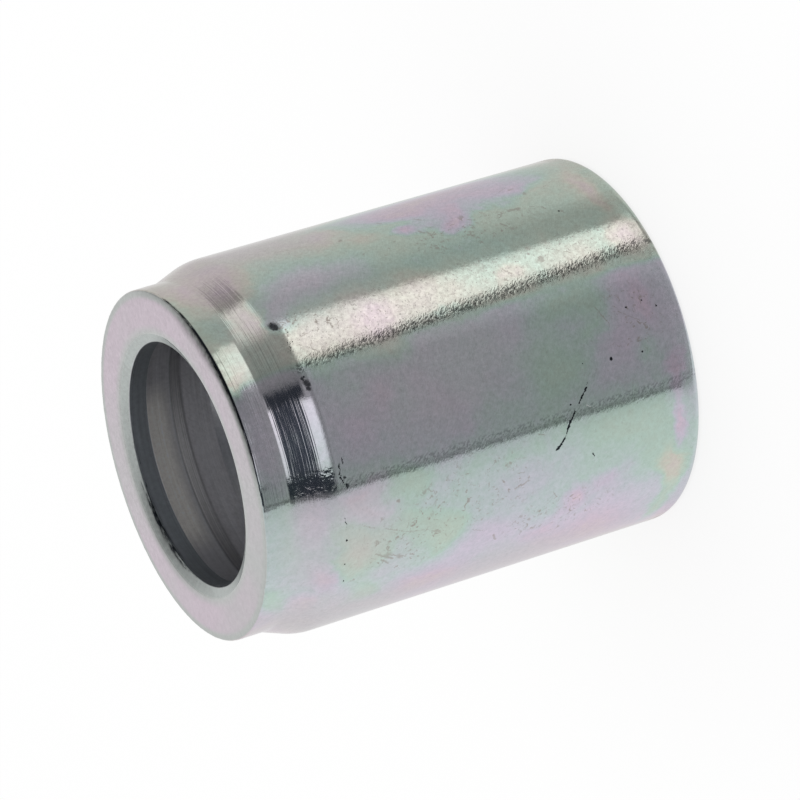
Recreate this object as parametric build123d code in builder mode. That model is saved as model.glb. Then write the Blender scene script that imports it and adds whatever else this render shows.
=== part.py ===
# Crimp hose ferrule: one turned steel sleeve, open at both ends.
# It stands on its hose mouth at z = 0, and +Z runs along the bore to the collar.
# All sizes are in millimetres.
import os
from math import radians, tan

from build123d import *

# Overall
length = 47.8
hose_socket_diameter = 29.6  # between the crests of the teeth
wall = 4.2  # from a tooth's crest to the outside

# Outside, at the collar end
collar_step = 1.25  # how far the collar lies in from the body
collar_width = 3.3  # from the end face to the foot of the cone
cone_angle = 20.0  # of the cone's side to the bore's axis
neck_radius = 2.2  # hollow blend from the collar into the cone
shoulder_radius = 5.5  # rounded blend from the cone into the body
collar_edge_chamfer = 0.4
mouth_edge_radius = 0.85

# Lip that locks behind the insert's shoulder
lip_height = 2.4  # how far it reaches in from the socket
lip_thickness = 2.5
lip_lead_in_width = 1.1  # of the chamfer, measured across the end face
lip_lead_in_depth = 0.55

# Teeth: the sharp crests that stay between the grooves turned into the socket
groove_count = 5
groove_depth = 0.75
groove_side_angle = 30.0  # of a groove's side to the bore's axis
tooth_crest = 1.6
lip_land = 3.8  # plain stretch between the lip and the first groove
mouth_land = 6.4  # plain stretch between the last groove and the mouth

# Hose mouth
mouth_lead_in_width = 0.9
mouth_lead_in_depth = 1.5

# Sizes that follow
socket_radius = hose_socket_diameter / 2
body_radius = socket_radius + wall
collar_radius = body_radius - collar_step
lip_radius = socket_radius - lip_height
socket_depth = length - lip_thickness
cone_foot = length - collar_width
cone_top = cone_foot - collar_step / tan(radians(cone_angle))
grooved_length = socket_depth - lip_land - mouth_land
groove_pitch = (grooved_length + tooth_crest) / groove_count
groove_width = groove_pitch - tooth_crest
first_groove = mouth_land + groove_width / 2
groove_heights = [first_groove + turn * groove_pitch for turn in range(groove_count)]

with BuildPart() as ferrule:
    # The outside as one solid bar: body, shoulder, cone, neck and collar.
    with BuildSketch(Plane.XZ):
        with BuildLine():
            outside = FilletPolyline(
                (0, 0),
                (body_radius, 0),
                (body_radius, cone_top),
                (collar_radius, cone_foot),
                (collar_radius, length - collar_edge_chamfer),
                (collar_radius - collar_edge_chamfer, length),
                (0, length),
                radius=[mouth_edge_radius, shoulder_radius, neck_radius, 0, 0],
            )
            Line(outside @ 1, outside @ 0)
        make_face()
    revolve(axis=Axis.Z)

    # The hose socket: a plain bore up to the lip, with the grooves opened out from it.
    with BuildSketch(Plane.XZ):
        Rectangle(socket_radius, socket_depth, align=(Align.MIN, Align.MIN))
        with Locations([(socket_radius, height) for height in groove_heights]):
            Trapezoid(
                groove_width,
                groove_depth,
                groove_side_angle,
                rotation=-90,
                align=(Align.CENTER, Align.MIN),
            )
    revolve(axis=Axis.Z, mode=Mode.SUBTRACT)

    # The hole through the collar, which leaves the lip at the end of the socket.
    with Locations((0, 0, length)):
        Hole(lip_radius)

    # Lead-ins at both ends of the bore.
    collar_face = ferrule.faces().sort_by(Axis.Z)[-1]
    lip_rim = collar_face.edges().sort_by(SortBy.RADIUS)[0]
    chamfer(lip_rim, length=lip_lead_in_width, length2=lip_lead_in_depth, reference=collar_face)
    mouth_face = ferrule.faces().sort_by(Axis.Z)[0]
    mouth_rim = mouth_face.edges().sort_by(SortBy.RADIUS)[0]
    chamfer(mouth_rim, length=mouth_lead_in_width, length2=mouth_lead_in_depth, reference=mouth_face)

ferrule.part.label = "ferrule"

os.makedirs("parts", exist_ok=True)
export_step(ferrule.part, "parts/ferrule.step")
print("ferrule", round(2 * body_radius, 2), "x", length, "mm, volume", round(ferrule.part.volume, 1))
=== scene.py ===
# Crimp hose ferrule in bright zinc plate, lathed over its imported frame.
# The model is in metres; the dictionaries below are in millimetres and degrees, and mm turns them.
import math
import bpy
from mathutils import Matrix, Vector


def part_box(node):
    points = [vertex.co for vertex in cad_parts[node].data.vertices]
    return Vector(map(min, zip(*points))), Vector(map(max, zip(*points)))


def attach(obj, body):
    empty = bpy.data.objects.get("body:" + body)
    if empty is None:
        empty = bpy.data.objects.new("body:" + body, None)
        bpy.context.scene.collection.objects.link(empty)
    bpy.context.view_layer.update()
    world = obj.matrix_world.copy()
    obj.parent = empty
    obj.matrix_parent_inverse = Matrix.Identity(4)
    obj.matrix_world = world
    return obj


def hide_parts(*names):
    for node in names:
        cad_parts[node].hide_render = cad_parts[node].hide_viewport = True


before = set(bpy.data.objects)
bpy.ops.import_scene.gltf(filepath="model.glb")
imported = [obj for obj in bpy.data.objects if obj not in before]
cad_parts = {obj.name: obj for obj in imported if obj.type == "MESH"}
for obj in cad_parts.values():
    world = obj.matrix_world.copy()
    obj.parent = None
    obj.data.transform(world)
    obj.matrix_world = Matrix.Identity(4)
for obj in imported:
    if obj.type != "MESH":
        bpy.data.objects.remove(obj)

from types import SimpleNamespace

import bpy
from mathutils import Euler, Matrix, Vector, noise

mm = 0.001
scene = bpy.context.scene
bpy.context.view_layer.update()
lowCorner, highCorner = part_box("ferrule")
bodyRadius = (highCorner.x - lowCorner.x) / 2 / mm
fullLength = (highCorner.z - lowCorner.z) / mm
print("frame loaded:", sorted(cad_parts), f"radius {bodyRadius:.2f}, length {fullLength:.2f}")


def spot(depth, azimuth, radius=bodyRadius):
    # a place on the sleeve: depth below the collar face, azimuth 0 to the front and growing to the left
    turn = math.radians(azimuth)
    return Vector((-radius * math.sin(turn), -radius * math.cos(turn), fullLength - depth))


def shareRound(azimuth):
    return (azimuth + 180) / 360  # 0 and 1 at the back, a half in front


def newPiece(name, vertices, faces, mapName="", corners=()):
    # a mesh object; corners holds the place on its map of each corner of each face
    mesh = bpy.data.meshes.new(name)
    mesh.from_pydata(vertices, [], faces)
    if corners:
        flat = [value for pair in corners for value in pair]
        mesh.uv_layers.new(name=mapName).data.foreach_set("uv", flat)
    piece = bpy.data.objects.new(name, mesh)
    scene.collection.objects.link(piece)
    return piece


# shader sums: a Wire is a socket that adds its own Math nodes
class Wire:
    def __init__(self, tree, socket=None):
        self.tree = tree
        self.socket = socket

    # any node: settings first, then values or links for its sockets, and the output wanted
    def node(self, kind, settings=None, inputs=None, out=0):
        made = self.tree.nodes.new("ShaderNode" + kind)
        for name, value in (settings or {}).items():
            if name == "stops":
                ramp = made.color_ramp.elements
                while len(ramp) < len(value):
                    ramp.new(0.5)
                for element, (position, colour) in zip(ramp, value):
                    element.position = position
                    element.color = (*colour, 1)
            else:
                setattr(made, name, value)
        for name, value in (inputs or {}).items():
            if isinstance(value, Wire):
                self.tree.links.new(value.socket, made.inputs[name])
            else:
                made.inputs[name].default_value = value
        return Wire(self.tree, made.outputs[out]) if made.outputs else made

    # another output of the same node
    def other(self, name):
        return Wire(self.tree, self.socket.node.outputs[name])

    def math(self, operation, *values):
        return self.node("Math", {"operation": operation}, dict(enumerate(values)))

    def __add__(self, other):
        return self.math("ADD", self, other)

    __radd__ = __add__

    def __sub__(self, other):
        return self.math("SUBTRACT", self, other)

    def __rsub__(self, other):
        return self.math("SUBTRACT", other, self)

    def __mul__(self, other):
        return self.math("MULTIPLY", self, other)

    __rmul__ = __mul__

    def __truediv__(self, other):
        return self.math("DIVIDE", self, other)

    def __rtruediv__(self, other):
        return self.math("DIVIDE", other, self)

    # the larger of two, and the smaller
    def either(self, other):
        return self.math("MAXIMUM", self, other)

    def nearer(self, other):
        return self.math("MINIMUM", self, other)

    # 0 below low, full above high, soft between; low may be the larger one
    def ramp(self, low, high, full=1.0):
        wanted = {"Value": self, "From Min": low, "From Max": high, "To Max": full}
        return self.node("MapRange", {"interpolation_type": "SMOOTHSTEP"}, wanted)

    # 1 between low and high, each side soft over its own width
    def band(self, low, high, softLow, softHigh):
        rise = self.ramp(low - softLow / 2, low + softLow / 2)
        return rise * self.ramp(high + softHigh / 2, high - softHigh / 2)

    # colours: base turns into other by factor; the Mix node's colours are its sockets 6 and 7
    def tint(self, factor, base, other):
        base, other = [each if isinstance(each, Wire) else (*each, 1) for each in (base, other)]
        return self.node("Mix", {"data_type": "RGBA"}, {0: factor, 6: base, 7: other}, out=2)

    def vector(self, operation, *values, out=0):
        return self.node("VectorMath", {"operation": operation}, dict(enumerate(values)), out=out)

    def scaled(self, vector, factor):
        return self.node("VectorMath", {"operation": "SCALE"}, {0: vector, "Scale": factor})

    def combine(self, x, y, z):
        return self.node("CombineXYZ", None, {0: x, 1: y, 2: z})

    # grain of about the given size in mm, 0 to 1
    def noise(self, where, size, detail=2.0, rough=0.5, twist=0.0, out=0):
        wanted = {"Vector": where, "Scale": 1 / size, "Detail": detail}
        wanted.update({"Roughness": rough, "Distortion": twist})
        return self.node("TexNoise", None, wanted, out=out)

    # moves a place about by a noise, at most reach mm
    def wandered(self, place, size, reach, detail=2.0, rough=0.5):
        push = self.noise(place, size, detail, rough, out="Color")
        push = self.vector("SUBTRACT", push, (0.5, 0.5, 0.5))
        return self.vector("ADD", place, self.scaled(push, reach * 2))

    # a number read off a curve of stops along share, 0 to 1
    def curve(self, share, stops):
        greys = [(where, (value,) * 3) for where, value in stops]
        return self.node("ValToRGB", {"stops": greys}, {0: share})


def newMaterial(name):
    material = bpy.data.materials.new(name)
    material.use_nodes = True
    material.node_tree.nodes.clear()
    return material, Wire(material.node_tree)


# the sleeve's outline, followed once round the cut wall
sleeve = {
    "turns": 464,  # facets round the axis
    "collarStep": 1.25,
    "collarWidth": 3.25,
    "coneAngle": 20.0,
    "neckRadius": 1.4,
    "shoulderRadius": 5.5,
    "collarEdge": 0.24,
    "mouthEdge": 0.85,
    "wall": 4.2,
    "lipHeight": 2.4,
    "lipThickness": 2.5,
    "lipLeadWidth": 1.1,
    "lipLeadDepth": 0.55,
    "grooves": 5,
    "grooveDepth": 0.75,
    "grooveSide": 1.3,  # length of a groove's sloped side along the bore
    "toothCrest": 1.6,
    "lipLand": 3.8,
    "mouthLand": 6.4,
    "mouthLeadWidth": 0.9,
    "mouthLeadDepth": 1.5,
    "brokenEdge": 0.12,  # rounding of the small edges
    "hollowEdge": 0.3,  # rounding at the foot of a groove and behind the lip
    "arcStep": 12.0,  # degrees between the rows of a rounding
    "arcGap": 0.32,  # and the longest gap between them
    "rowGap": 2.4,  # longest gap between rows on a straight stretch
    "shortRun": 0.3,  # a stretch shorter than this gets no rows of its own
    "supportGap": 0.08,  # how close a support row lies to a rounding
    "burr": 0.05,  # how deep the collar's outer edge is chewed
    "burrSize": 0.35,
    "burrReach": 0.5,  # how far the chewing reaches from a ring this far inside the edge
    "burrInset": 0.15,
    "pushDown": 0.5,  # dents go inward, and this much down for each mm in
    # knocks that are shape: depth, azimuth, radius on the face or body, width, how deep
    "knocks": [
        (6.75, -32.2, 18.9, 0.45, 0.1),
        (0.3, 50.0, 17.6, 0.55, 0.14),
        (0.1, -33.0, 17.5, 0.4, 0.1),
        (0.1, -104.0, 14.8, 0.22, 0.04),
        (0.1, 173.5, 14.5, 0.3, 0.04),
    ],
}


def sleeveCorners(cfg, radius, length):
    # (radius, height, rounding) of each corner, from the mouth up the outside and back down the bore
    collar = radius - cfg["collarStep"]
    coneFoot = length - cfg["collarWidth"]
    coneTop = coneFoot - cfg["collarStep"] / math.tan(math.radians(cfg["coneAngle"]))
    socket = radius - cfg["wall"]
    lip = socket - cfg["lipHeight"]
    lipBack = length - cfg["lipThickness"]
    edge, hollow = cfg["brokenEdge"], cfg["hollowEdge"]
    corners = [
        (radius, 0, cfg["mouthEdge"]),
        (radius, coneTop, cfg["shoulderRadius"]),
        (collar, coneFoot, cfg["neckRadius"]),
        (collar, length, cfg["collarEdge"]),
        (lip + cfg["lipLeadWidth"], length, edge),
        (lip, length - cfg["lipLeadDepth"], edge),
        (lip, lipBack, edge),
        (socket, lipBack, hollow),
    ]
    pitch = (lipBack - cfg["lipLand"] - cfg["mouthLand"] + cfg["toothCrest"]) / cfg["grooves"]
    bottom = socket + cfg["grooveDepth"]
    for count in range(cfg["grooves"]):
        top = lipBack - cfg["lipLand"] - count * pitch
        low = top - pitch + cfg["toothCrest"]
        corners += [(socket, top, edge), (bottom, top - cfg["grooveSide"], hollow)]
        corners += [(bottom, low + cfg["grooveSide"], hollow), (socket, low, edge)]
    corners += [(socket, cfg["mouthLeadDepth"], edge), (socket + cfg["mouthLeadWidth"], 0, edge)]
    return corners


def roundedOutline(cfg, corners):
    # swaps each corner for its arc and puts rows on the straight stretches
    rows = []
    for i, (r, z, rounding) in enumerate(corners):
        here = Vector((r, z))
        back = Vector(corners[i - 1][:2]) - here
        ahead = Vector(corners[(i + 1) % len(corners)][:2]) - here
        bend = back.angle(ahead)
        reach = rounding / math.tan(bend / 2)
        start = here + back.normalized() * reach
        stop = here + ahead.normalized() * reach
        halfway = (back.normalized() + ahead.normalized()).normalized()
        middle = here + halfway * rounding / math.sin(bend / 2)
        sweep = (start - middle).angle_signed(stop - middle)
        byAngle = round(abs(math.degrees(sweep)) / cfg["arcStep"])
        byLength = round(abs(sweep) * rounding / cfg["arcGap"])
        steps = max(2, byAngle, byLength)
        arc = []
        for step in range(steps + 1):
            arm = start - middle
            arm.rotate(Matrix.Rotation(-sweep * step / steps, 2))
            arc.append(middle + arm)
        if rows:
            rows += straightRows(cfg, rows[-1], arc[0])
        rows += arc
    return rows + straightRows(cfg, rows[-1], rows[0])


def straightRows(cfg, start, stop):
    # a support row close to each end keeps the smooth shading inside the roundings
    run = stop - start
    if run.length < cfg["shortRun"]:
        return []
    support = cfg["supportGap"] / run.length
    count = max(1, math.ceil(run.length / cfg["rowGap"]))
    shares = [support] + [step / count for step in range(1, count)] + [1 - support]
    return [start + run * share for share in shares]


def worn(cfg, point, knocks):
    # pulls the surface in where the collar's edge is burred and where the sleeve was knocked
    radius = math.hypot(point.x, point.y)
    inward = Vector((-point.x / radius, -point.y / radius, -cfg["pushDown"]))
    moved = point.copy()
    across = radius - bodyRadius + cfg["collarStep"] + cfg["burrInset"]
    edge = math.hypot(across, point.z - fullLength + cfg["burrInset"])
    if edge < cfg["burrReach"]:
        chewed = (1 - edge / cfg["burrReach"]) * (noise.noise(point / cfg["burrSize"]) * 0.5 + 0.5)
        moved += inward * chewed * cfg["burr"]
    for middle, width, deep in knocks:
        away = (point - middle).length / width
        if away < 1:
            moved += inward * deep * (1 - away * away) ** 2
    return moved * mm


def lathe(cfg, name, rows):
    turns, count = cfg["turns"], len(rows)
    knocks = []
    for depth, azimuth, radius, width, deep in cfg["knocks"]:
        knocks.append((spot(depth, azimuth, radius), width, deep))
    vertices = []
    for turn in range(turns):
        azimuth = 180 - 360 * turn / turns  # the seam is at the back, +Y
        vertices += [worn(cfg, spot(fullLength - z, azimuth, r), knocks) for r, z in rows]
    faces, spans, walked = [], [], [0.0]
    for i in range(count):
        walked.append(walked[-1] + (rows[(i + 1) % count] - rows[i]).length)
    for turn in range(turns):
        here, there = turn * count, (turn + 1) % turns * count
        left, right = turn / turns, (turn + 1) / turns
        for i in range(count):
            j = (i + 1) % count
            low, high = walked[i] / walked[-1], walked[i + 1] / walked[-1]
            faces.append((here + i, there + i, there + j, here + j))
            spans += [(left, low), (right, low), (right, high), (left, high)]
    piece = newPiece(name, vertices, faces, "OFBake", spans)
    piece.data.shade_smooth()
    return piece


outlineRows = roundedOutline(sleeve, sleeveCorners(sleeve, bodyRadius, fullLength))
ferrule = lathe(sleeve, "plated_sleeve", outlineRows)
print("sleeve lathed:", len(outlineRows), "rows,", len(ferrule.data.polygons) * 2, "triangles")


# bright zinc plate: tints are linear, sizes and depths in mm, azimuths in degrees
# where a part lies, two numbers are a soft step, four are a band: low, high, softness of each side
plate = {
    # where the parts of the sleeve lie
    "boreRadius": (16.3, 16.1),
    "boreDepth": (0.52, 0.6),
    "faceDepth": (0.12, 0.04),
    "leadInRadius": (13.45, 13.3),
    "leadInDepth": (0.6, 0.52),
    "neckDepth": (3.2, 6.1, 0.4, 1.0),
    "neckRadii": (17.4, 17.7),
    "bodyDepth": (5.8, 7.4),
    "mouthDepth": (45.9, 47.1, 0.8, 0.4),
    "rimDepth": (0.05, 0.26, 0.06, 0.1),
    "rimRadius": (17.3, 17.45),
    "holeRadius": (12.85, 12.6),
    "crumpledDepth": (3.2, 7.3, 0.6, 0.5),
    "crumpledAzimuth": (12.5, 19, 1.5, 1.5),
    # the band where the highlight falls, whose grain is coarser as a painted speckle of the reflection,
    # and where the grain is calm
    "rubbedAzimuth": (-35, -20, 3, 5),
    "calmAzimuth": (17, 24),
    "calmEnd": (170, 130),
    "slant": 0.19,  # the highlight band's lower fringe drifts round by this for each mm of depth
    "fringe": (-19.4, -14, 2.4, 3),
    # painted reflection: dark specks along the highlight's lower edge and along the dark band's lower
    # edge
    "fringeEdgeSpecks": (-17.3, -14.6, 1.6, 1.6),
    "fringeSpeckShare": 0.65,
    "lowerEdgeSpecks": (17.2, 19.2, 1.4, 1),
    "lowerSpeckShare": 0.35,
    "lowerFringe": (16, 22, 2, 2),
    "lowerFringeShare": 0.5,
    "rough": 0.065,
    "roughSpread": 0.05,
    "mouthRough": 0.14,
    "leadInRough": 0.25,
    "inkRough": 0.3,
    "cutRough": 0.35,
    "smudgeRough": 0.1,
    "strokeLength": 0.5,  # short turning strokes on the body, lying askew
    "strokeWidth": 0.11,
    "strokeTilt": 0.6,
    "strokeHeight": 0.0042,
    "strokeShade": 0.25,
    "plainStrokes": 0.5,  # their height off the fringes, as a share
    "clumpLength": 0.3,  # the same, coarser
    "clumpWidth": 0.26,
    "clumpHeight": 0.011,
    "plainClumps": 0.2,
    "lineEnds": (-172, 172, 10, 10),  # both fade before the azimuth turns over at the back
    "ringWidth": 0.22,
    "ringStretch": 0.06,
    "collarRings": 0.008,
    "neckRings": 0.018,
    "mottleSize": 0.5,
    "mottleHeight": 0.0045,
    "hillSize": 4.0,
    "hillHeight": 0.008,
    "crumple": 0.034,  # the scratched patch under the neck
    "cloudSize": 7.0,
    "cloudSpread": 0.5,
    "fleckSize": 0.8,
    "fleckSpread": 0.16,
    "grainSize": 0.4,
    "grainSpread": 0.4,
    "rubbedGrain": 0.3,
    "calmGrain": 0.18,
    "fleckShade": 0.14,
    "rubbedFleck": 0.2,
    "calmStrokes": 0.6,
    "poreSize": 0.22,
    "poreShare": 0.2,
    "rubbedPores": 0.7,
    "squiggleSize": 0.75,
    "squiggleShare": 0.14,
    "rubbedSquiggles": 0.4,
    "smudgeShare": 0.6,
    "biteStretch": 0.5,  # how the dirt in the collar's burr is drawn out, and how narrow it is
    "biteWidth": 0.16,
    "dirtBite": 0.55,
    # rimShade and holeShade place the painted shade on the face by the collar's rim and round the hole
    "rimShade": 17.6,  # the radius where the shade along the collar's rim is full
    "rimShadeWidth": 1.2,
    "rimShadeWider": 0.8,
    "rimShadeAzimuth": (-54, -28, 16, 16),  # and where it is wider
    "holeShade": 12.45,
    "holeShadeWidth": 2.4,
    "chipShare": 0.9,
    "cutShare": 0.8,
    "pore": (0.36, 0.34, 0.32),
    "smudge": (0.36, 0.32, 0.29),
    "pale": (0.86, 0.87, 0.86),
    "ink": (0.015, 0.018, 0.024),
    # the passivation's colours, one turn from mint back to mint as its film thickens
    "film": [
        (0.0, (0.505, 0.645, 0.575)),  # mint
        (0.09, (0.54, 0.63, 0.625)),  # teal
        (0.18, (0.585, 0.61, 0.665)),  # blue
        (0.33, (0.64, 0.585, 0.69)),  # lilac
        (0.43, (0.68, 0.565, 0.67)),  # magenta
        (0.52, (0.695, 0.58, 0.625)),  # pink
        (0.62, (0.67, 0.60, 0.575)),  # sand
        (0.73, (0.635, 0.62, 0.545)),  # olive
        (0.86, (0.555, 0.64, 0.555)),  # green
        (1.0, (0.505, 0.645, 0.575)),
    ],
    # its thickness round the body, in turns: azimuth, film
    "filmRound": [
        (-180, 0.75), (-130, 0.45), (-85, 0.62), (-70, 0.68), (-60, 0.8), (-40, 0.9), (-33, 0.85),
        (-25, 0.8), (-19.5, 0.83), (-17.5, 1.22), (0, 1.22), (14, 1.16), (25, 1.06), (40, 1.09),
        (55, 1.2), (70, 1.36), (85, 1.5), (130, 1.9), (180, 1.75),
    ],
    # where it is stained: depth, azimuth, half the length, half the width round the sleeve, film
    "stainEdge": (1.5, 0.05),
    "stains": [
        (31, -75, 12.5, 3.6, 1.52), (33, -66.5, 9.5, 2.3, 1.43), (33.5, -61, 6.5, 1.5, 1.26),
        (38.5, -64, 3.4, 2, 1.38), (27, -69, 3.6, 2.4, 1.48), (25.2, -55, 1.6, 1.3, 1.45),
        (27.4, -57, 1.6, 1.4, 1.22), (30, -54, 2.1, 1.8, 1.46), (31.4, -60, 2, 2, 1.44),
        (33.6, -56.5, 1.6, 1.2, 1.2), (36.6, -55, 1.4, 1.8, 1.1), (22.5, -64, 1.6, 2, 1.08),
        (43.8, -55, 1.6, 4, 0.82), (45.4, -52, 1.1, 4.6, 0.6), (17.2, -66, 2, 2.4, 0.56),
        (11, -58, 2.4, 1.6, 0.88), (13.8, -58, 1.4, 1.2, 0.8), (9, -47, 1.6, 1.2, 0.86),
        (19.5, -48, 2.6, 2, 0.95), (23.5, -42, 3, 1.8, 1.03), (29.5, -43, 3.2, 2, 1.02),
        (35, -46, 3.2, 2, 0.86), (39, -44, 4, 2.6, 0.9), (12, -42, 7.5, 4, 1.37),
        (8.4, -37, 2.6, 2.2, 1.36), (21.8, -37.5, 2, 1, 0.94), (1, -18, 1.6, 1.6, 0.56),
        (2, -41, 1.6, 2, 0.98), (1.8, -63, 1.8, 3, 0.54), (4.7, -39, 1.8, 3.2, 0.56),
        (4.8, -55, 3, 3.6, 0.5), (5.3, -66, 1.5, 2.6, 0.53), (6.6, -35, 1, 1.4, 1.25),
        (10.4, -27, 4, 4.2, 0.68), (16.6, -26.5, 3.8, 4.6, 0.55), (21.6, -28, 3, 4, 0.68),
        (31.3, -26, 1.4, 1.2, 0.64), (45.2, -29, 1.5, 2.4, 0.6), (24.4, -19.5, 3, 0.8, 0.95),
        (11.5, -12.5, 2.2, 1.8, 1.12), (11.4, 4, 4, 3, 1.33), (13.6, -3, 1.3, 1.9, 1.4),
        (24, -5, 4.4, 3.6, 1.17), (32.6, -2, 4.6, 3.4, 1.02), (33, 6.5, 3.6, 3, 0.96),
        (36, -14, 5, 2.2, 0.94), (37.6, -5, 2, 2, 0.98), (40, 3, 2.2, 3, 1.32),
        (43.7, -10, 1.4, 2.6, 1.42), (42.4, 6.5, 1.4, 1.6, 1.06), (45.4, 15, 0.8, 3, 1.4),
        (9.6, 23.5, 2.6, 1.8, 1.44), (10.4, 31, 2.6, 2, 1.5), (15.6, 24, 3.6, 1.9, 0.94),
        (25, 19, 5.4, 1.8, 1.09), (38.4, 27, 5.4, 3.6, 0.96), (42, 38, 2.6, 4.2, 0.98),
        (35.6, 38, 3, 2.4, 1.04), (14.6, 36, 3, 2, 0.95), (18.2, 46, 3, 3.2, 0.89),
        (15.2, 50, 2, 1.6, 1.08), (9.2, 43, 3.4, 4, 0.76), (10.8, 60, 2.4, 2, 0.92),
        (27, 37, 3.4, 2.6, 1.2), (22.6, 40, 2, 2.6, 1.12), (30.4, 45, 2.2, 1.8, 1.12),
        (24.6, 53.5, 4.6, 2.4, 1.33), (33.4, 50, 1.8, 1.6, 1.45), (36.6, 45, 2, 1.4, 1.34),
        (31, 57, 3, 1.6, 1.42), (39, 57, 2.6, 2, 1.28), (36.4, 68, 5, 4.4, 1.48),
        (18, 68, 5, 3, 1.5), (44.8, 50, 1.6, 4.4, 0.66), (45, 67, 1.2, 4.4, 0.92),
        (45.5, 33, 0.8, 3.4, 1.42), (5.3, 51, 1.5, 2.4, 1.44), (3.8, 63, 1.6, 1.8, 1.48),
        (5.4, 29, 2.2, 4.4, 1.36), (1.4, 34, 1.6, 4, 1.1), (1.6, 58, 1.6, 2.4, 0.95),
        (2, 2, 2, 4.4, 1.28),
    ],
    # where the film is thin, and so nearly grey: the same, with a share
    "fadedEdge": (1.3, 0.4),
    # the band where the highlight falls is greyed a little too: a painted washing-out of the highlight
    "highlightGreyAzimuth": (-34, -20, 3, 4),
    "highlightGreyShare": 0.1,
    "greyedFilm": [
        (12, -40, 9, 5, 0.4), (12, -72, 9, 6, 0.5), (4.4, -25, 3.2, 14, 0.3),
        (9.6, 34, 4.6, 6, 0.5), (12, 46, 5, 4, 0.25), (8, 73, 10, 5.5, 0.7), (27, 72, 8, 4.5, 0.5),
        (4.5, 36, 3, 8, 0.4), (20, -6, 12, 6, 0.35),
    ],
    "grey": (0.61, 0.61, 0.612),
    "face": (0.575, 0.60, 0.585),
    "facePinkest": (0.675, 0.583, 0.655),
    "faceRing": (0.565, 0.605, 0.59),
    "pinkRadius": (13.9, 17.0, 1.4, 0.6),
    "pinkSpread": 0.8,
    # how pink the collar's face is, and how much dirt and painted shade its outer edge and the hole's
    # edge have: azimuth, share
    "facePink": [
        (-180, 0.5), (-150, 0.8), (-120, 0.95), (-70, 1.0), (-40, 0.8), (-10, 0.65), (10, 0.5),
        (30, 0.3), (45, 0.15), (60, 0.6), (80, 0.5), (105, 0.95), (140, 0.9), (165, 0.75),
        (180, 0.5),
    ],
    "edgeDirtAndShade": [
        (-180, 0.05), (-90, 0.05), (-75, 0.25), (-60, 0.42), (-42, 0.8), (-20, 0.98), (-8, 0.7),
        (4, 0.5), (14, 0.15), (25, 0.05), (180, 0.05),
    ],
    "holeDirtAndShade": [
        (-180, 0.3), (-160, 0.2), (-140, 0.1), (-120, 0), (95, 0), (120, 0.3), (150, 0.62),
        (168, 0.5), (180, 0.3),
    ],
    "lip": (0.345, 0.375, 0.40),
    "lipEnd": (2.35, 2.6),
    "bore": (0.58, 0.58, 0.60),
    # a painted pool of light on the bore's land at the back: its tint, then where it lies round and down
    # the bore
    "boreLitPatch": (0.98, 0.955, 0.89),
    "litPatchBack": (0.78, 0.93),
    "litPatchDepth": (2.6, 5.6, 0.3, 2.0),
    # the first groove's near side is darkened: painted shade
    "grooveSideDepth": (6.2, 7.8, 0.3, 0.5),
    "grooveShade": 0.58,
    "boreRings": 0.5,
    "boreRough": 0.42,
    "boreSmooth": 0.85,  # how much of the relief is lost in the bore
    # dirt in scratches on the outside: depth, azimuth, depth, azimuth, half width
    "scratches": [
        (35.5, 11.1, 35.3, 12.4, 0.04), (35.3, 12.5, 34.25, 16.2, 0.09),
        (33.67, 18.4, 32.95, 21.4, 0.1), (33.0, 20.8, 32.65, 23.0, 0.14),
        (32.6, 23.3, 32.2, 25.6, 0.06), (32.2, 25.6, 31.25, 28.4, 0.11),
        (31.8, 27.0, 31.3, 28.3, 0.14), (35.2, 33.0, 35.4, 34.3, 0.045),
        (5.95, -42.0, 6.45, -34.4, 0.055), (7.55, -26.2, 6.9, -21.6, 0.03),
        (7.35, -26.4, 6.75, -22.2, 0.03), (4.15, -45.0, 4.05, -42.8, 0.05),
        (3.2, -34.6, 3.2, -30.6, 0.08), (8.4, 10.6, 8.5, 12.6, 0.05), (8.05, 12.2, 8.0, 16.0, 0.05),
        (7.9, 16.4, 8.4, 19.4, 0.055), (7.85, 28.9, 8.0, 32.0, 0.045),
        (3.85, 23.6, 3.8, 25.4, 0.05), (1.86, 28.2, 1.35, 34.6, 0.035),
    ],
    # specks: depth, azimuth, half width
    "specks": [
        (8.0, 13.2, 0.12), (7.9, 15.4, 0.1), (8.1, 17.4, 0.12), (8.4, 18.9, 0.13),
        (7.3, -14.2, 0.12), (7.75, -25.6, 0.09), (7.8, -29.0, 0.09), (33.26, 16.0, 0.1),
        (38.6, 6.5, 0.17), (41.8, -6.7, 0.12), (42.1, 7.0, 0.11), (43.7, -7.4, 0.09),
        (45.0, -4.7, 0.11), (35.45, 5.4, 0.08), (4.3, -36.2, 0.12), (8.5, 20.0, 0.11),
        (9.4, 20.0, 0.09), (7.95, 36.5, 0.13), (7.8, 45.0, 0.1), (7.9, 52.0, 0.1),
        (5.4, 25.8, 0.08), (5.45, -79.8, 0.18), (40.5, -44.0, 0.14),
    ],
    # larger chips, torn at their edges: the same
    "chips": [
        (6.72, -32.8, 0.42), (6.9, -31.9, 0.44), (7.1, -13.9, 0.24), (7.25, -12.8, 0.32),
        (7.35, -11.7, 0.3), (7.25, -10.6, 0.26), (8.3, 16.8, 0.16), (8.5, 19.6, 0.2),
    ],
    # brown smudges: the same, and wide patches of them: depth, azimuth, half length, half width
    "blots": [
        (31.1, -25.5, 0.2), (23.4, -34.2, 0.2), (27.6, -45.2, 0.24), (28.25, -45.1, 0.28),
        (31.2, -42.6, 0.26), (37.0, -50.1, 0.3), (33.5, -51.6, 0.24), (39.0, -56.9, 0.42),
        (38.4, -61.8, 0.4), (35.0, -33.6, 0.5), (35.5, -28.6, 0.45), (19.9, -31.1, 0.26),
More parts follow.
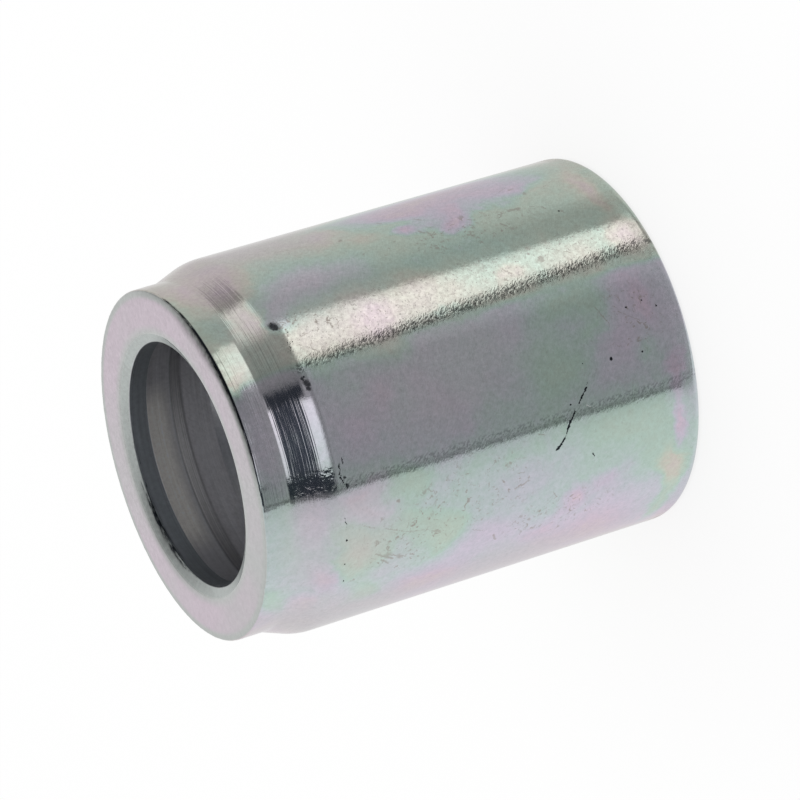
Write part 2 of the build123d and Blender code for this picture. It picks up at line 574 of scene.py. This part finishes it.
        (40.8, -43.3, 0.24), (32.8, -47.6, 0.22), (25.7, -40.9, 0.18), (23.2, -51.2, 0.24),
        (19.0, -60.0, 0.34), (19.6, -49.6, 0.24), (32.2, -50.8, 0.2), (22.4, -48.8, 0.26),
        (34.9, -42.2, 0.24), (21.6, -46.8, 0.24), (26.1, 28.1, 0.2), (16.5, 28.5, 0.26),
        (13.7, 28.7, 0.24), (13.8, 31.4, 0.2), (11.8, 33.4, 0.24), (20.1, 31.6, 0.22),
        (17.3, 36.6, 0.22), (22.8, 44.5, 0.3), (28.5, 50.6, 0.36), (32.3, 59.5, 0.36),
        (12.6, 46.8, 0.55), (14.0, 48.8, 0.45), (17.8, 43.2, 0.3), (8.8, 53.2, 0.3),
        (25.7, 27.8, 0.26), (0.7, 50.5, 0.5),
    ],
    # brown lines: the same as the scratches
    "brownLines": [
        (26.4, -53.0, 26.7, -51.4, 0.16), (27.0, -51.6, 27.2, -49.6, 0.12),
        (30.4, -45.2, 30.9, -44.0, 0.12), (34.2, -45.8, 34.6, -43.9, 0.11),
        (36.0, -50.4, 37.1, -50.1, 0.2), (38.2, -49.6, 39.2, -48.2, 0.05),
        (39.3, -48.0, 39.5, -46.8, 0.09), (27.2, -60.6, 27.7, -58.4, 0.1),
        (23.9, -64.6, 24.1, -63.6, 0.1), (41.0, -57.0, 43.0, -60.2, 0.04),
        (36.6, -61.0, 38.4, -64.0, 0.05), (12.5, -64.5, 15.6, -62.5, 0.05),
        (29.4, 21.7, 30.3, 22.8, 0.07), (26.7, 32.0, 27.6, 32.4, 0.05),
        (12.2, 36.6, 15.2, 41.2, 0.05), (14.4, 40.0, 16.9, 41.9, 0.05),
        (11.2, 45.0, 13.2, 49.0, 0.11), (12.6, 46.8, 14.6, 49.8, 0.08),
        (11.9, 48.0, 12.8, 50.6, 0.12), (17.3, 42.8, 18.2, 44.0, 0.1),
        (9.6, 33.0, 11.0, 35.4, 0.05), (22.0, 47.6, 23.4, 49.8, 0.05),
        (24.6, 53.2, 24.9, 55.6, 0.14), (30.9, 42.8, 31.4, 45.2, 0.06),
        (8.6, -26.4, 10.2, -27.4, 0.05), (9.0, -22.6, 9.8, -20.2, 0.06),
        (38.7, -9.1, 39.5, -3.5, 0.06), (40.8, -6.3, 42.8, -1.9, 0.05),
        (20.3, -31.6, 20.5, -30.4, 0.06), (31.4, -28.6, 32.0, -26.6, 0.09),
        (36.9, -31.4, 38.8, -28.0, 0.06), (24.8, -26.0, 25.6, -25.4, 0.05),
        (17.3, -27.8, 17.5, -27.0, 0.08),
    ],
    "blotPatches": [
        (31, -47, 8, 3.2), (14.5, 45, 5.5, 4.0), (22, 34, 8, 4.5), (10, -28, 4, 2.6),
        (32, 52, 7, 3), (42, -4, 4, 4),
    ],
    # bright scratches where the plate was cut
    "cuts": [
        (5.2, 17.0, 5.6, 18.4, 0.04), (5.9, 16.8, 6.3, 17.6, 0.04), (6.3, 19.8, 6.9, 19.4, 0.05),
        (6.6, 10.4, 7.1, 10.7, 0.035), (5.5, 5.0, 5.7, 9.5, 0.03), (5.9, -8.6, 6.0, -4.0, 0.035),
        (35.0, 17.6, 35.8, 19.0, 0.035),
    ],
}


def specks(wire, place, marks):
    # how far off the nearest round mark is, in its own half widths
    nearest = None
    for depth, azimuth, width in marks:
        gap = wire.vector("DISTANCE", place, tuple(spot(depth, azimuth)), out="Value") * (1 / width)
        nearest = gap if nearest is None else nearest.nearer(gap)
    return nearest


def scratches(wire, place, marks):
    # the same for short straight ones
    nearest = None
    for depth, azimuth, depthToo, azimuthToo, width in marks:
        start, stop = spot(depth, azimuth), spot(depthToo, azimuthToo)
        run = stop - start
        reach = run / run.length_squared
        share = wire.vector("DOT_PRODUCT", place, tuple(reach), out="Value")
        settings = {"operation": "SUBTRACT", "use_clamp": True}
        share = wire.node("Math", settings, {0: share, 1: start.dot(reach)})
        foot = wire.vector("ADD", wire.scaled(tuple(run), share), tuple(start))
        gap = wire.vector("DISTANCE", place, foot, out="Value") * (1 / width)
        nearest = gap if nearest is None else nearest.nearer(gap)
    return nearest


def cloud(wire, place, depth, azimuth, along, across):
    # 0 in the middle of a cloud, 1 at its edge
    middle, shrink = spot(depth, azimuth), (1 / across, 1 / across, 1 / along)
    offset = tuple(-a * b for a, b in zip(middle, shrink))
    away = wire.vector("MULTIPLY_ADD", place, shrink, offset)
    return wire.vector("LENGTH", away, out="Value")


def byAzimuth(wire, turn, stops):
    # reads a value off a list of azimuths; halved in the ramp, which holds 0 to 1
    return wire.curve(turn, [(shareRound(azimuth), value / 2) for azimuth, value in stops]) * 2


def sleeveParts(cfg, wire):
    # where on the sleeve a point lies, and how far it belongs to each part
    at = SimpleNamespace()
    at.place = wire.scaled(wire.node("TexCoord", out="Object"), 1 / mm)
    at.x = wire.node("SeparateXYZ", None, {0: at.place})
    at.y, at.z = at.x.other("Y"), at.x.other("Z")
    at.radius = wire.math("SQRT", at.x * at.x + at.y * at.y)
    at.azimuth = wire.math("ARCTAN2", 0 - at.x, 0 - at.y) * (180 / math.pi)
    at.turn = at.azimuth / 360 + 0.5
    at.depth = fullLength - at.z
    at.inside = at.radius.ramp(*cfg["boreRadius"]) * at.depth.ramp(*cfg["boreDepth"])
    at.face = at.depth.ramp(*cfg["faceDepth"])
    at.leadIn = at.radius.ramp(*cfg["leadInRadius"]) * at.depth.ramp(*cfg["leadInDepth"])
    at.neck = at.depth.band(*cfg["neckDepth"]) * at.radius.ramp(*cfg["neckRadii"])
    at.outside = (1 - at.face) * (1 - at.inside)
    at.body = at.depth.ramp(*cfg["bodyDepth"])
    at.rubbed = at.azimuth.band(*cfg["rubbedAzimuth"]) * at.body
    at.slant = at.azimuth + at.depth * cfg["slant"]
    at.fringe = at.slant.band(*cfg["fringe"])
    return at


def addGrain(cfg, wire, at):
    # turning lines: long rings on the collar, neck and bore, short strokes that lie askew on the body
    at.along = at.z - at.radius
    askew = at.along - at.azimuth * at.body * (math.radians(bodyRadius) * cfg["strokeTilt"])
    ends = at.azimuth.band(*cfg["lineEnds"])

    def shortLines(long, wide):
        where = wire.combine(at.x / long, at.y / long, askew / wide)
        return (wire.noise(where, 1.0, 1, 0.6) - 0.5) * ends + 0.5

    at.strokes = shortLines(cfg["strokeLength"], cfg["strokeWidth"])
    at.clumps = shortLines(cfg["clumpLength"], cfg["clumpWidth"])
    stretch = cfg["ringStretch"]
    rings = wire.combine(at.x * stretch, at.y * stretch, at.along / cfg["ringWidth"])
    at.rings = wire.noise(rings, 1.0, 2, 0.65)
    at.mottle = wire.noise(at.place, cfg["mottleSize"], 2, 0.6)
    at.hills = wire.noise(at.place, cfg["hillSize"], 0, 0.5)
    at.grain = wire.noise(at.place, cfg["grainSize"], 3, 0.75)
    at.clouds = wire.noise(at.place, cfg["cloudSize"], 2, 0.55, 0.6)
    at.fleck = wire.noise(at.place, cfg["fleckSize"], 3, 0.6)


def filmColour(cfg, wire, at):
    # the passivation's film: clouds and stains of it, nearly grey where it is thin, and greyed a little
    # along the band where the highlight falls, a painted washing-out of the highlight
    thickness = byAzimuth(wire, at.turn, cfg["filmRound"])
    thickness = thickness + (at.clouds - 0.5) * cfg["cloudSpread"]
    drawn = wire.wandered(wire.wandered(at.place, 6.0, 2.0, 1), 1.7, 1.1, 4, 0.65)
    for depth, azimuth, long, broad, film in cfg["stains"]:
        cover = cloud(wire, drawn, depth, azimuth, long, broad).ramp(*cfg["stainEdge"])
        thickness = wire.node("Mix", None, {0: cover, 2: thickness, 3: film})
    thickness = thickness + (at.fleck - 0.5) * cfg["fleckSpread"]
    colour = wire.node("ValToRGB", {"stops": cfg["film"]}, {0: wire.math("FRACT", thickness + 1)})
    greyedFilm = at.azimuth.band(*cfg["highlightGreyAzimuth"]) * at.body * cfg["highlightGreyShare"]
    for depth, azimuth, long, broad, share in cfg["greyedFilm"]:
        away = cloud(wire, drawn, depth, azimuth, long, broad)
        greyedFilm = greyedFilm.either(away.ramp(*cfg["fadedEdge"], share))
    return wire.tint(greyedFilm, colour, cfg["grey"])


def faceColour(cfg, wire, at, colour):
    # the collar's face is pink between two grey green rings, and the hole's lead-in is green
    pinkness = byAzimuth(wire, at.turn, cfg["facePink"])
    pinkness = pinkness + (at.clouds - 0.5) * cfg["pinkSpread"]
    pinkness = pinkness * at.radius.band(*cfg["pinkRadius"])
    colour = wire.tint(at.face, colour, wire.tint(pinkness, cfg["face"], cfg["facePinkest"]))
    return wire.tint(at.leadIn, colour, cfg["faceRing"])


def boreColour(cfg, wire, at, colour):
    # the bore is duller: a blue lip, and a land behind it with a painted pool of light at the back,
    # where light through the hole falls
    paintedLight = (at.y / at.radius).ramp(*cfg["litPatchBack"]) * at.depth.band(*cfg["litPatchDepth"])
    wall = wire.tint(at.depth.ramp(*cfg["lipEnd"]), cfg["lip"], cfg["bore"])
    wall = wire.tint(paintedLight, wall, cfg["boreLitPatch"])
    shades = (at.rings - 0.5) * cfg["boreRings"] + 1
    # painted shade on the first groove's near side
    shades = shades - at.depth.band(*cfg["grooveSideDepth"]) * cfg["grooveShade"]
    return wire.tint(at.inside, colour, wire.scaled(wall, shades))


def grainColour(cfg, wire, at, colour):
    # grain and pores, strongest in the band where the highlight falls, a painted speckle of its
    # reflection
    calm = at.azimuth.ramp(*cfg["calmAzimuth"]) * at.azimuth.ramp(*cfg["calmEnd"])
    grainSpread = at.rubbed * cfg["rubbedGrain"] + cfg["grainSpread"] - calm * cfg["calmGrain"]
    fleckSpread = at.rubbed * cfg["rubbedFleck"] + cfg["fleckShade"]
    lineSpread = (1 - calm * cfg["calmStrokes"]) * at.body * cfg["strokeShade"]
    shades = (at.grain - 0.5) * grainSpread + (at.fleck - 0.5) * fleckSpread
    colour = wire.scaled(colour, shades + (at.strokes - 0.5) * lineSpread + 1)
    pores = wire.noise(at.place, cfg["poreSize"], 1).ramp(0.62, 0.74)
    pores = pores * (at.rubbed * cfg["rubbedPores"] + cfg["poreShare"]) * at.outside
    return wire.tint(pores, colour, cfg["pore"])


def brownSmudges(cfg, wire, at, ragged):
    # squiggles in patches, blots and drawn lines
    patches = 0
    for depth, azimuth, long, broad in cfg["blotPatches"]:
        patches = patches + cloud(wire, at.place, depth, azimuth, long, broad).ramp(1.1, 0.5)
    squiggles = wire.noise(ragged, cfg["squiggleSize"], 2, 0.6, 1.5).ramp(0.58, 0.68)
    squiggles = squiggles * (patches + at.rubbed * cfg["rubbedSquiggles"] + cfg["squiggleShare"])
    torn = wire.wandered(ragged, 0.7, 0.45, 1)
    blots = specks(wire, torn, cfg["blots"]).ramp(1.1, 0.3)
    lines = scratches(wire, ragged, cfg["brownLines"]).ramp(1.4, 0.4)
    return squiggles.either(blots.either(lines) * (at.fleck * 1.3 + 0.3)) * at.outside


def edgeDirtAndShade(cfg, wire, at):
    # dirt in the burr of the collar's edge and along the hole's edge, the collar edge's black partly a
    # painted dark reflection, and painted shade round both
    stretch = cfg["biteStretch"]
    bitten = wire.combine(at.x * stretch, at.y * stretch, at.along / cfg["biteWidth"])
    bitten = wire.noise(bitten, 1.0, 4, 0.75)
    dirtAndShade = byAzimuth(wire, at.turn, cfg["edgeDirtAndShade"])
    # the collar's edge is inked black: partly dirt in its burr, partly a painted dark reflection
    rim = at.depth.band(*cfg["rimDepth"]) * at.radius.ramp(*cfg["rimRadius"])
    rim = rim * (bitten + dirtAndShade * cfg["dirtBite"]).ramp(0.66, 0.86)
    holeGrimeAndShade = byAzimuth(wire, at.turn, cfg["holeDirtAndShade"])
    hole = at.radius.ramp(*cfg["holeRadius"]) * at.depth.ramp(1.0, 0.6) * at.depth.ramp(0.1, 0.4)
    hole = hole * (bitten + holeGrimeAndShade * cfg["dirtBite"]).ramp(0.66, 0.88)
    # painted shade: the face darkened towards the collar's rim and towards the hole
    wider = at.azimuth.band(*cfg["rimShadeAzimuth"]) * cfg["rimShadeWider"]
    fromRim = (at.radius - cfg["rimShade"]) / (wider + cfg["rimShadeWidth"])
    shade = fromRim.ramp(-1, 0) * dirtAndShade
    shade = shade + (at.radius - cfg["holeShade"]).ramp(cfg["holeShadeWidth"], 0) * holeGrimeAndShade
    shade = shade * at.face.either(at.leadIn) * (at.mottle * 0.8 + 0.6)
    return rim.either(hole), shade


def relief(cfg, wire, at):
    # the height of the lines, grain and hills, and of the crumpled patch under the neck
    crumpled = at.depth.band(*cfg["crumpledDepth"]) * at.azimuth.band(*cfg["crumpledAzimuth"])
    sharp = at.fringe.either(at.azimuth.band(*cfg["lowerFringe"]) * cfg["lowerFringeShare"])
    sharp = sharp * (1 - cfg["plainStrokes"]) + cfg["plainStrokes"]
    coarse = at.fringe * (1 - cfg["plainClumps"]) + cfg["plainClumps"]
    height = at.strokes * cfg["strokeHeight"] * sharp + at.clumps * cfg["clumpHeight"] * coarse
    height = height * at.body
    height = height + at.rings * (cfg["collarRings"] * (1 - at.body) + cfg["neckRings"] * at.neck)
    height = height + (at.mottle - 0.5) * (crumpled * cfg["crumple"] + cfg["mottleHeight"])
    height = height + at.hills * cfg["hillHeight"]
    height = height * (1 - at.inside * cfg["boreSmooth"])
    return wire.node("Bump", None, {"Strength": 1.0, "Distance": mm, "Height": height})


def platedSteel(cfg):
    material, wire = newMaterial("zinc_plate_bright")
    at = sleeveParts(cfg, wire)
    addGrain(cfg, wire, at)
    colour = filmColour(cfg, wire, at)
    colour = faceColour(cfg, wire, at, colour)
    colour = boreColour(cfg, wire, at, colour)
    colour = grainColour(cfg, wire, at, colour)
    ragged = wire.wandered(at.place, 0.35, 0.2, 2, 0.7)
    smudge = brownSmudges(cfg, wire, at, ragged)
    colour = wire.tint(smudge * cfg["smudgeShare"], colour, cfg["smudge"])

    # dirt in scratches, specks, chips and edges, then painted dark specks along the reflected edges of
    # the highlight and the dark band, and the bright cuts
    marked = scratches(wire, ragged, cfg["scratches"]).nearer(specks(wire, ragged, cfg["specks"]))
    chips = specks(wire, wire.wandered(ragged, 0.5, 0.2, 1), cfg["chips"]).ramp(1.25, 0.5)
    edges, shade = edgeDirtAndShade(cfg, wire, at)
    ink = (marked.ramp(1.25, 0.65) * at.outside).either(chips * cfg["chipShare"]).either(edges)
    colour = wire.tint(ink, wire.scaled(colour, 1 - shade), cfg["ink"])
    # painted reflection: dark specks along the reflected edges of the highlight and the dark band
    reflectionEdgeSpecks = at.slant.band(*cfg["fringeEdgeSpecks"]) * cfg["fringeSpeckShare"]
    reflectionEdgeSpecks = reflectionEdgeSpecks + at.azimuth.band(*cfg["lowerEdgeSpecks"]) * cfg["lowerSpeckShare"]
    colour = wire.tint(at.clumps.ramp(0.56, 0.38) * reflectionEdgeSpecks * at.body, colour, cfg["ink"])
    cut = scratches(wire, ragged, cfg["cuts"]).ramp(1.3, 0.6)
    colour = wire.tint(cut * cfg["cutShare"], colour, cfg["pale"])

    bump = relief(cfg, wire, at)
    rough = at.mottle.ramp(0.25, 0.75) * cfg["roughSpread"] + cfg["rough"]
    rough = rough + ink * cfg["inkRough"] + cut * cfg["cutRough"] + smudge * cfg["smudgeRough"]
    rough = rough + at.leadIn * cfg["leadInRough"]
    rough = rough + at.depth.band(*cfg["mouthDepth"]) * cfg["mouthRough"]
    rough = rough * (1 - at.inside) + at.inside * cfg["boreRough"]
    shader = wire.node("BsdfPrincipled", None, {
        "Base Color": colour,
        "Metallic": 1.0,
        "Roughness": rough,
        "Normal": bump,
    })
    wire.node("OutputMaterial", None, {"Surface": shader})
    return material


ferrule.data.materials.append(platedSteel(plate))
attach(ferrule, "root")
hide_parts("ferrule")
print("plate material made:", len(ferrule.data.materials[0].node_tree.nodes), "nodes")


# studio: floor, light tent, lamps, camera
studio = {
    "floorSize": 4000,
    "floorShade": 0.9,
    "shadowShare": 0.2,  # how much of the floor's own shading the camera sees
    "tentRadius": 330,
    "tentMiddle": 24,
    "glowScale": 2.0,  # glow that a full white card has
    "cool": (0.86, 1.0, 1.22),
    "hardEdge": 0.001,  # the least softness of a card's edge, as a share of the card
    "cardGap": 2,  # between the tent and its first card
    "cardSteps": (48, 16),
    "underMouth": (16.3, 1, 0.8),  # a card closes the mouth from below: radius, how far below, glow
    "lampPower": 1.2,
    "lampSize": 700,
    "lampPlace": (200, -150, 900),
    # how brightly the tent's wall glows round the horizon: azimuth, glow
    "tentGlow": [
        (-180, 0.79), (-160, 0.75), (-150, 0.66), (-120, 0.65), (-97, 0.59), (-80, 0.47),
        (-42, 0.52), (-31, 0.46), (-25, 0.38), (30, 0.365), (38, 0.40), (42, 0.66), (57, 0.78),
        (75, 0.82), (110, 0.90), (135, 0.82), (160, 0.77), (180, 0.79),
    ],
    # cards and soft boxes hung inside the tent, each a little nearer than the one before:
    # azimuths of the lower edge, azimuths of the upper edge, elevations,
    # glow from side to side, softness left, right, below, above
    "cards": {
        "front_low": ((-70, 38), (-70, 38), (-88, -31), (0.52, 0.54, 0.43, 0.44, 0.48), (10, 1, 0, 4)),
        "front_mid": ((-33, 38), (-33, 38), (-19, -10), (0.26, 0.27, 0.29, 0.29), (3, 1, 2.5, 4)),
        "front_roof": ((-80, 38), (-75, 38), (14, 62), (0.24, 0.20), (8, 3, 8, 12)),
        "low_left": ((-130, -88), (-130, -88), (-60, -25), (0.69, 0.66), (12, 8, 0, 5)),
        "low_dim": ((-88, -64), (-88, -64), (-60, -25), (0.44, 0.42), (8, 3, 0, 5)),
        "low_right": ((46, 104), (46, 104), (-60, -26), (0.78, 0.90), (4, 12, 0, 5)),
        "grey_side": ((-60, -24), (-60, -24), (-13, 20), (0.39, 0.33, 0.21), (4, 2, 4, 4)),
        "front_glow": ((-17, 30), (-17, 30), (-15, 12), (1.04, 1.0, 0.85), (3, 10, 8, 4)),
        "dark_roof": ((-27, 39.5), (-27, 39.5), (10, 58), (0.055, 0.075, 0.05), (3, 1.5, 3, 12)),
        "left_post": ((-28, -16), (-28, -16), (-4, 40), (0.04, 0.035), (4, 2, 7, 6)),
        "right_post": ((25, 39.5), (25, 39.5), (-15, 45), (0.04, 0.04), (2, 1.5, 3, 8)),
        "left_gap": ((-120, -86), (-120, -82), (2, 34), (0.52, 0.38, 0.29), (8, 3, 3, 8)),
        "left_box": ((-90, -60), (-84, -54), (1, 22), (0.92, 0.86, 0.7), (4, 9, 4, 6)),
        "strip_low": ((-68.5, -61), (-68.5, -39), (-40, -21), (0.88, 1.2, 1.2, 1.1), (5, 0.4, 3, 0)),
        "strip_high": ((-68.5, -39), (-67.5, -29.5), (-21, -13), (0.8, 1.15, 1.18, 0.8), (5, 0.6, 0, 3)),
        "strip_low_edge": ((-61, -56.6), (-39, -34.6), (-40, -21), (0.01, 0.01), (0.3, 0.8, 10, 0)),
        "strip_high_edge": ((-39, -34.6), (-32, -30), (-21, -18.5), (0.01, 0.01), (0.3, 0.8, 0, 1)),
        "corner_post": ((37.6, 41.2), (37.6, 41.2), (-80, 50), (0.14, 0.14), (2, 0.5, 4, 10)),
    },
    "coolCards": ["dark_roof", "left_post", "right_post"],
}


def glowMaterial(name, settings):
    # settings: glow as a list of stops, its tint, and four soft edges as shares of the card
    material, wire = newMaterial(name)
    across = wire.node("SeparateXYZ", None, {0: wire.node("UVMap")})
    up = across.other("Y")
    stops = [(share, value / studio["glowScale"]) for share, value in settings["glow"]]
    glow = wire.curve(across, stops)
    if "tint" in settings:
        glow = wire.vector("MULTIPLY", glow, settings["tint"])
    shader = wire.node("Emission", None, {"Color": glow, "Strength": studio["glowScale"]})
    if "soft" in settings:
        left, right, below, above = [max(studio["hardEdge"], share) for share in settings["soft"]]
        cover = across.ramp(0, left) * across.ramp(1, 1 - right)
        cover = cover * up.ramp(0, below) * up.ramp(1, 1 - above)
        shader = wire.node("MixShader", None, {0: cover, 1: wire.node("BsdfTransparent"), 2: shader})
    wire.node("OutputMaterial", None, {"Surface": shader})
    material.cycles.emission_sampling = "NONE"
    return material


def hangCard(name, radius, lowSide, highSide, elevations, settings):
    across, up = studio["cardSteps"]
    vertices, faces, spans = [], [], []
    for j in range(up + 1):
        lift = math.radians(elevations[0] + (elevations[1] - elevations[0]) * j / up)
        start = lowSide[0] + (highSide[0] - lowSide[0]) * j / up
        stop = lowSide[1] + (highSide[1] - lowSide[1]) * j / up
        for i in range(across + 1):
            turn = math.radians(start + (stop - start) * i / across)
            flat = radius * math.cos(lift)
            height = studio["tentMiddle"] + radius * math.sin(lift)
            vertices.append(Vector((-flat * math.sin(turn), -flat * math.cos(turn), height)) * mm)
    for j in range(up):
        for i in range(across):
            a = j * (across + 1) + i
            faces.append((a, a + 1, a + across + 2, a + across + 1))
            left, right, bottom, top = i / across, (i + 1) / across, j / up, (j + 1) / up
            spans += [(left, bottom), (right, bottom), (right, top), (left, top)]
    onlyReflected(name, vertices, faces, spans, settings)


def onlyReflected(name, vertices, faces, spans, settings):
    # the sleeve's gloss sees the card; the camera, the floor and shadows don't
    card = newPiece(name, vertices, faces, "UVMap", spans)
    card.data.materials.append(glowMaterial(name, settings))
    card.visible_camera = False
    card.visible_diffuse = False
    card.visible_transmission = False
    card.visible_volume_scatter = False
    card.visible_shadow = False


def hangTent(cfg):
    wallGlow = [(shareRound(azimuth), glow) for azimuth, glow in cfg["tentGlow"]]
    hangCard("tent", cfg["tentRadius"], (-180, 180), (-180, 180), (-90, 90), {"glow": wallGlow})
    for count, (name, (low, high, elevations, glow, soft)) in enumerate(cfg["cards"].items()):
        width = max(low[1] - low[0], high[1] - high[0])
        tall = elevations[1] - elevations[0]
        settings = {
            "glow": [(step / (len(glow) - 1), value) for step, value in enumerate(glow)],
            "soft": (soft[0] / width, soft[1] / width, soft[2] / tall, soft[3] / tall),
        }
        if name in cfg["coolCards"]:
            settings["tint"] = cfg["cool"]
        radius = cfg["tentRadius"] - cfg["cardGap"] - count
        hangCard(name, radius, low, high, elevations, settings)
    reach, below, glow = cfg["underMouth"]
    steps = cfg["cardSteps"][0]
    rim = [spot(fullLength + below, step * 360 / steps, reach) * mm for step in range(steps)]
    settings = {"glow": [(0, glow), (1, glow)]}
    onlyReflected("under_mouth", rim, [list(range(steps))], [(0, 0)] * steps, settings)


hangTent(studio)
print("tent hung:", len(studio["cards"]), "cards")


def layFloor(cfg):
    half = cfg["floorSize"] / 2 * mm
    corners = [(-half, -half, 0), (half, -half, 0), (half, half, 0), (-half, half, 0)]
    floor = newPiece("floor", corners, [(0, 1, 2, 3)])
    material, wire = newMaterial("floor_white")
    light = wire.node("LightPath", out="Is Camera Ray")
    seen = light.either(light.other("Is Glossy Ray")).either(light.other("Is Transmission Ray"))
    white = wire.node("Emission", None, {"Color": (1, 1, 1, 1), "Strength": 1.0})
    matt = wire.node("BsdfDiffuse", None, {"Color": (cfg["floorShade"],) * 3 + (1,)})
    surface = wire.node("MixShader", None, {0: seen * (1 - cfg["shadowShare"]), 1: matt, 2: white})
    wire.node("OutputMaterial", None, {"Surface": surface})
    floor.data.materials.append(material)
    floor.visible_glossy = False


layFloor(studio)

world = bpy.data.worlds.new("studio")
scene.world = world
world.use_nodes = True
world.node_tree.nodes.clear()
sky = Wire(world.node_tree)
backdrop = sky.node("Background", None, {"Color": (1, 1, 1, 1), "Strength": 1.0})
sky.node("OutputWorld", None, {"Surface": backdrop})

lampData = bpy.data.lights.new("top_lamp", "AREA")
lampData.size = studio["lampSize"] * mm
lampData.energy = studio["lampPower"]
lamp = bpy.data.objects.new("top_lamp", lampData)
lamp.location = Vector(studio["lampPlace"]) * mm
lamp.visible_glossy = False
scene.collection.objects.link(lamp)

# the picture was taken looking down at the sleeve, and turned on its side
view = {
    "place": (-0.007, -419.8, 212.755),
    "lookDown": 24.277,
    "roll": -106.919,
    "lens": 208.53,
    "sensor": 36,
    "clip": (0.01, 20),  # metres
}
cameraData = bpy.data.cameras.new("camera")
cameraData.lens = view["lens"]
cameraData.sensor_width = view["sensor"]
cameraData.clip_start, cameraData.clip_end = view["clip"]
camera = bpy.data.objects.new("camera", cameraData)
tilt = Euler((math.radians(90 - view["lookDown"]), 0, 0)).to_matrix()
roll = Euler((0, 0, math.radians(view["roll"]))).to_matrix()
camera.matrix_world = Matrix.Translation(Vector(view["place"]) * mm) @ (tilt @ roll).to_4x4()
scene.collection.objects.link(camera)
scene.camera = camera
scene.view_settings.view_transform = "Standard"
print("studio set")
